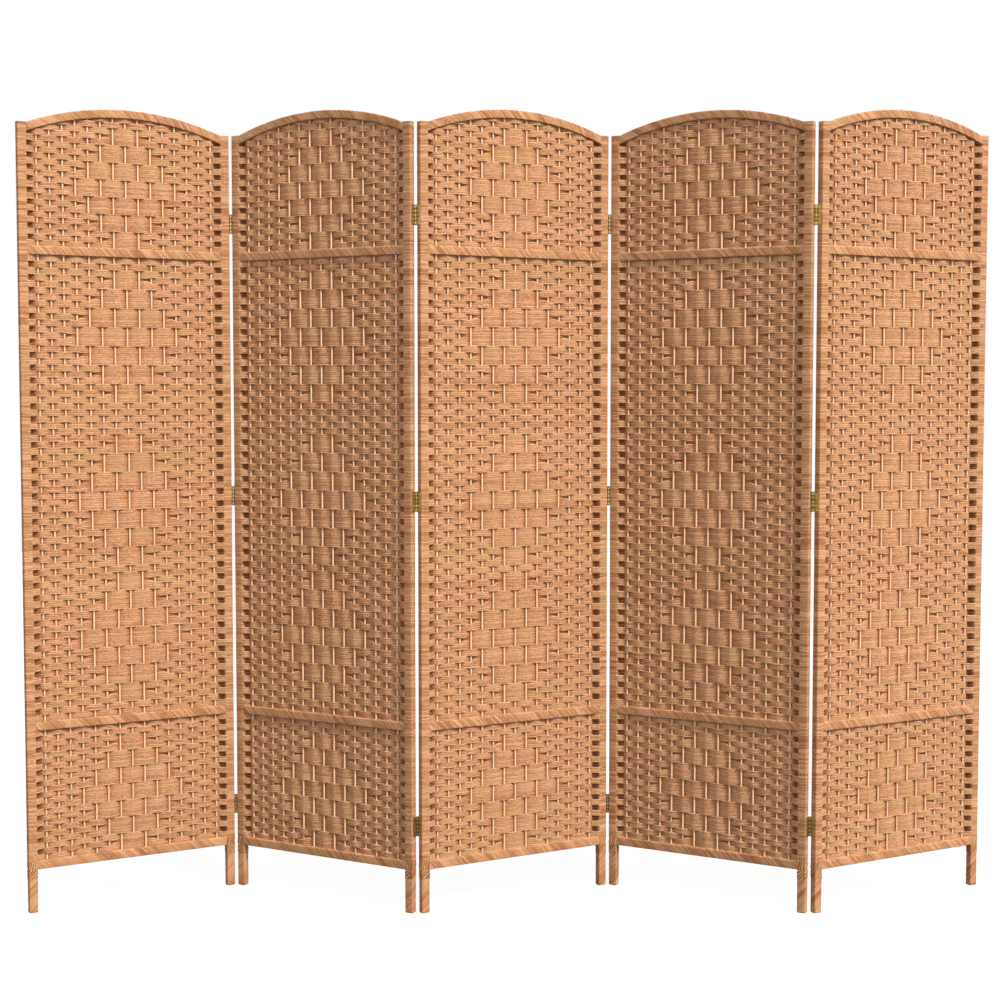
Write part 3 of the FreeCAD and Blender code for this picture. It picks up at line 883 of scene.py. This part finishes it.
def wound_stile(x, rng, cord_number):
    """Sheets of one wound stile: level cord in step with the rows, and leaning cord on the leg."""
    sizes, cord = screen().frame, screen().winding
    section = rounded_section(sizes.stile_width, sizes.stile_depth)
    foot, joint, top = sizes.foot_reveal, sizes.bottom_rail, sizes.stile_top
    ankle, knee = joint - cord.lashing, joint + sizes.rail_height
    along, across, back, run = winding(section, stile_grooves(knee), 0.0, (knee, top), rng, cord_number)
    # the top is closed by turns that get smaller
    closing = np.array([[0.9], [0.55], [0.0]])
    levels = np.array([[top], [top - 0.0002], [top - 0.0003]])
    along = np.vstack([along, np.repeat(levels, along.shape[1], 1)])
    across = np.vstack([across, across[-1:] * closing])
    back = np.vstack([back, back[-1:] * closing])
    run = np.concatenate([run, run[-1:] + np.array([[[0.0, 1.0]], [[0.0, 3.0]], [[0.0, 6.0]]])])
    sheets = [(grid(x + across, back, along), run)]
    # joint with the bottom rail: nearly upright cords, and below them leaning ones
    upright, leaning = LASHING_LEANS
    sheets.append(lashing(x, section, (joint, knee + 0.0005), upright, cord_number + 3000))
    sheets.append(lashing(x, section, (ankle, joint), leaning, cord_number + 3200))
    # leg: the same cord, leaning, with shallow grooves, and a little slimmer than the stile
    slim, round_off, shallow = 0.94, 0.86, 0.7
    leg_top, lean = ankle + 0.001, -cord.leg_lean
    edges = np.arange(foot, leg_top - lean * section[-1].max(), cord.cord * math.hypot(1, lean))
    ends, first_cord = (foot, leg_top), cord_number + 2000
    along, across, back, run = winding(section, edges, lean, ends, rng, first_cord, shallow)
    across, back = across * slim, back * slim
    along, run = np.vstack([along[:1], along]), np.concatenate([run[:1], run])
    across, back = np.vstack([across[:1] * round_off, across]), np.vstack([back[:1] * round_off, back])
    sheets.append((grid(x + across, back, along), run))
    return sheets


class SCREEN_OT_wound_stiles(bpy.types.Operator):
    """Wind cord round both stiles of every panel"""
    bl_idname = "screen.wound_stiles"
    bl_label = "Wound Stiles"

    def execute(self, context):
        for number in PANELS:
            for side, word in ((-1, "left"), (1, "right")):
                rng = np.random.default_rng(screen().weave.seed + 31 * number + side)
                x = side * screen().frame.stile_spread / 2
                # the two stiles of a fold are wound with the same cord
                sheets = wound_stile(x, rng, 4000.0 * (2 * number + side))
                piece(f"wound_{word}_stile", number, sheets, wound_fibre(), "wrap")
        return {"FINISHED"}


class SCREEN_OT_wound_rails(bpy.types.Operator):
    """Wind cord round the three rails and the arch of every panel"""
    bl_idname = "screen.wound_rails"
    bl_label = "Wound Rails and Arch"

    def execute(self, context):
        sizes, cord = screen().frame, screen().winding
        radius, centre, half = arch_line()
        lean = cord.rail_lean
        step = cord.cord * math.hypot(1, lean)
        section = rounded_section(sizes.rail_height, sizes.rail_depth)
        around = section[-1].max()
        # rails and arch go 2 mm into the stiles
        reach = half + 0.002
        edges = np.arange(-reach - lean * around, reach + step, step)
        arch_section = rounded_section(sizes.arch_band, sizes.rail_depth)
        middle = radius - sizes.arch_band / 2
        swing = middle * math.asin(reach / (radius - sizes.arch_band))
        arch_edges = np.arange(-swing - lean * around, swing + step, step)
        for number in PANELS:
            rng = np.random.default_rng(screen().weave.seed + 53 * number)
            first_cord = 9000.0 * number
            sheets = []
            for order, level in enumerate((sizes.bottom_rail, sizes.lower_rail, sizes.upper_rail)):
                ends = (-reach, reach)
                along, across, back, run = winding(section, edges, lean, ends, rng, first_cord + 1000 * order)
                sheets.append((grid(along, back, level + sizes.rail_height / 2 + across), run))
            piece("wound_rails", number, sheets, wound_fibre(), "wrap")
            # the arch: the same winding bent round its centre
            ends = (-swing, swing)
            along, across, back, run = winding(arch_section, arch_edges, lean, ends, rng, first_cord + 5000)
            far = middle + across
            # its ends stay inside the stiles
            x = np.clip(far * np.sin(along / middle), -reach, reach)
            sheets = [(grid(x, back, centre + np.sqrt(far ** 2 - x ** 2)), run)]
            piece("wound_arch", number, sheets, wound_fibre(), "wrap")
        return {"FINISHED"}


def finish_nodes(starts, material):
    """Give a material to every node of the frame whose name starts with one of these."""
    found = [node for name, node in frame["nodes"].items() if name.startswith(starts)]
    if not found:
        raise RuntimeError(f"no part of the frame is called {starts}")
    for node in found:
        if not node.material_slots:
            node.data.materials.append(None)
        for slot in node.material_slots:
            slot.material = material


class SCREEN_OT_brass_hinges(bpy.types.Operator):
    """Finish the hinge leaves, their pins and screws in brass"""
    bl_idname = "screen.brass_hinges"
    bl_label = "Brass Hinges"

    def execute(self, context):
        finish_nodes(("hinge_pins_", "hinge_screws_"), material_of(rolled_brass, "Rolled brass"))
        for number in PANELS:
            leaves = material_of(rolled_brass, f"Rolled brass, leaves {number}", number)
            finish_nodes((f"hinge_leaves_{number}",), leaves)
        return {"FINISHED"}


class SCREEN_OT_wooden_cores(bpy.types.Operator):
    """Finish the wooden cores of the stiles, rails and arches"""
    bl_idname = "screen.wooden_cores"
    bl_label = "Wooden Cores"

    def execute(self, context):
        starts = ("left_stile_", "right_stile_", "bottom_rail_", "lower_rail_", "upper_rail_", "top_arch_")
        finish_nodes(starts, material_of(planed_pine, "Planed pine"))
        return {"FINISHED"}


class SCREEN_OT_studio(bpy.types.Operator):
    """Set up the camera, the pale floor and the soft lights"""
    bl_idname = "screen.studio"
    bl_label = "Studio"

    def execute(self, context):
        studio, scene = screen().studio, context.scene
        camera = add_object("camera", bpy.data.cameras.new("camera"))
        camera.data.lens = studio.lens
        camera.data.sensor_width = 36.0
        camera.location = studio.camera_place
        camera.rotation_euler = (math.pi / 2 - studio.camera_pitch, 0.0, 0.0)
        scene.camera = camera

        for name, strength, side, height in (
            ("key_light", studio.key_strength, studio.key_side, studio.key_height),
            ("back_light", studio.back_strength, studio.back_side, studio.back_height),
        ):
            lamp = add_object(name, bpy.data.lights.new(name, "SUN"))
            lamp.data.energy = strength
            lamp.data.angle = studio.softness
            lamp.data.color = linear("#fff8f0")
            # a sun lamp shines along its own -Z
            lamp.rotation_euler = (math.pi / 2 - height, 0.0, side)

        reach = studio.floor_reach
        corners = [(-reach, -reach, 0), (reach, -reach, 0), (reach, reach, 0), (-reach, reach, 0)]
        floor_mesh = bpy.data.meshes.new("floor")
        floor_mesh.from_pydata(corners, [], [(0, 1, 2, 3)])
        floor_mesh.materials.append(material_of(white_paper, "White studio paper"))
        floor = add_object("floor", floor_mesh)

        world = scene.world or bpy.data.worlds.new("studio")
        scene.world = world
        world.use_nodes = True
        world.node_tree.nodes.clear()
        add = partial(add_node, world.node_tree)
        # soft light from all round, more of it from the front, the right and above, and a white backdrop
        seen = add("LightPath").outputs["Is Camera Ray"]
        toward = add("TexCoord").outputs["Generated"]
        lean = add("VectorMath", (toward, studio.fill_lean), operation="DOT_PRODUCT")
        fill = add("Math", (lean, studio.fill_strength, studio.fill_strength), operation="MULTIPLY_ADD")
        soft = add("Background", {"Color": rgba(linear("#fbfcff")), "Strength": fill})
        white = add("Background", {"Color": (1, 1, 1, 1), "Strength": 1.0})
        add("OutputWorld", {"Surface": add("MixShader", (seen, soft, white))})
        scene.view_settings.view_transform = "Standard"
        scene.view_settings.look = "None"
        return {"FINISHED"}


PIECES = (
    "woven_bands", "bamboo_stakes", "wound_stiles", "wound_rails", "brass_hinges", "wooden_cores", "studio",
)


class SCREEN_PT_sidebar(bpy.types.Panel):
    """The folding screen's sizes, finishes and pieces"""
    bl_label = "Folding Screen"
    bl_idname = "SCREEN_PT_sidebar"
    bl_space_type = "VIEW_3D"
    bl_region_type = "UI"
    bl_category = "Folding Screen"

    def draw(self, context):
        layout = self.layout
        settings = context.scene.folding_screen
        for group in ("frame", "weave", "winding", "hinges", "finishes", "studio"):
            box = layout.box()
            box.label(text=group.title())
            held = getattr(settings, group)
            for name in held.__annotations__:
                box.prop(held, name)
        for name in PIECES:
            layout.operator(f"screen.{name}")


CLASSES = (
    FrameSizes, WeaveSizes, WindingSizes, HingeSizes, Finishes, StudioSettings, ScreenSettings,
    SCREEN_OT_woven_bands, SCREEN_OT_bamboo_stakes, SCREEN_OT_wound_stiles, SCREEN_OT_wound_rails,
    SCREEN_OT_brass_hinges, SCREEN_OT_wooden_cores, SCREEN_OT_studio, SCREEN_PT_sidebar,
)


def register():
    for made in CLASSES:
        bpy.utils.register_class(made)
    bpy.types.Scene.folding_screen = PointerProperty(type=ScreenSettings)


def unregister():
    del bpy.types.Scene.folding_screen
    for made in reversed(CLASSES):
        bpy.utils.unregister_class(made)


def main():
    register()
    for name in PIECES:
        getattr(bpy.ops.screen, name)()
    bpy.context.view_layer.update()


if __name__ == "__main__":
    main()
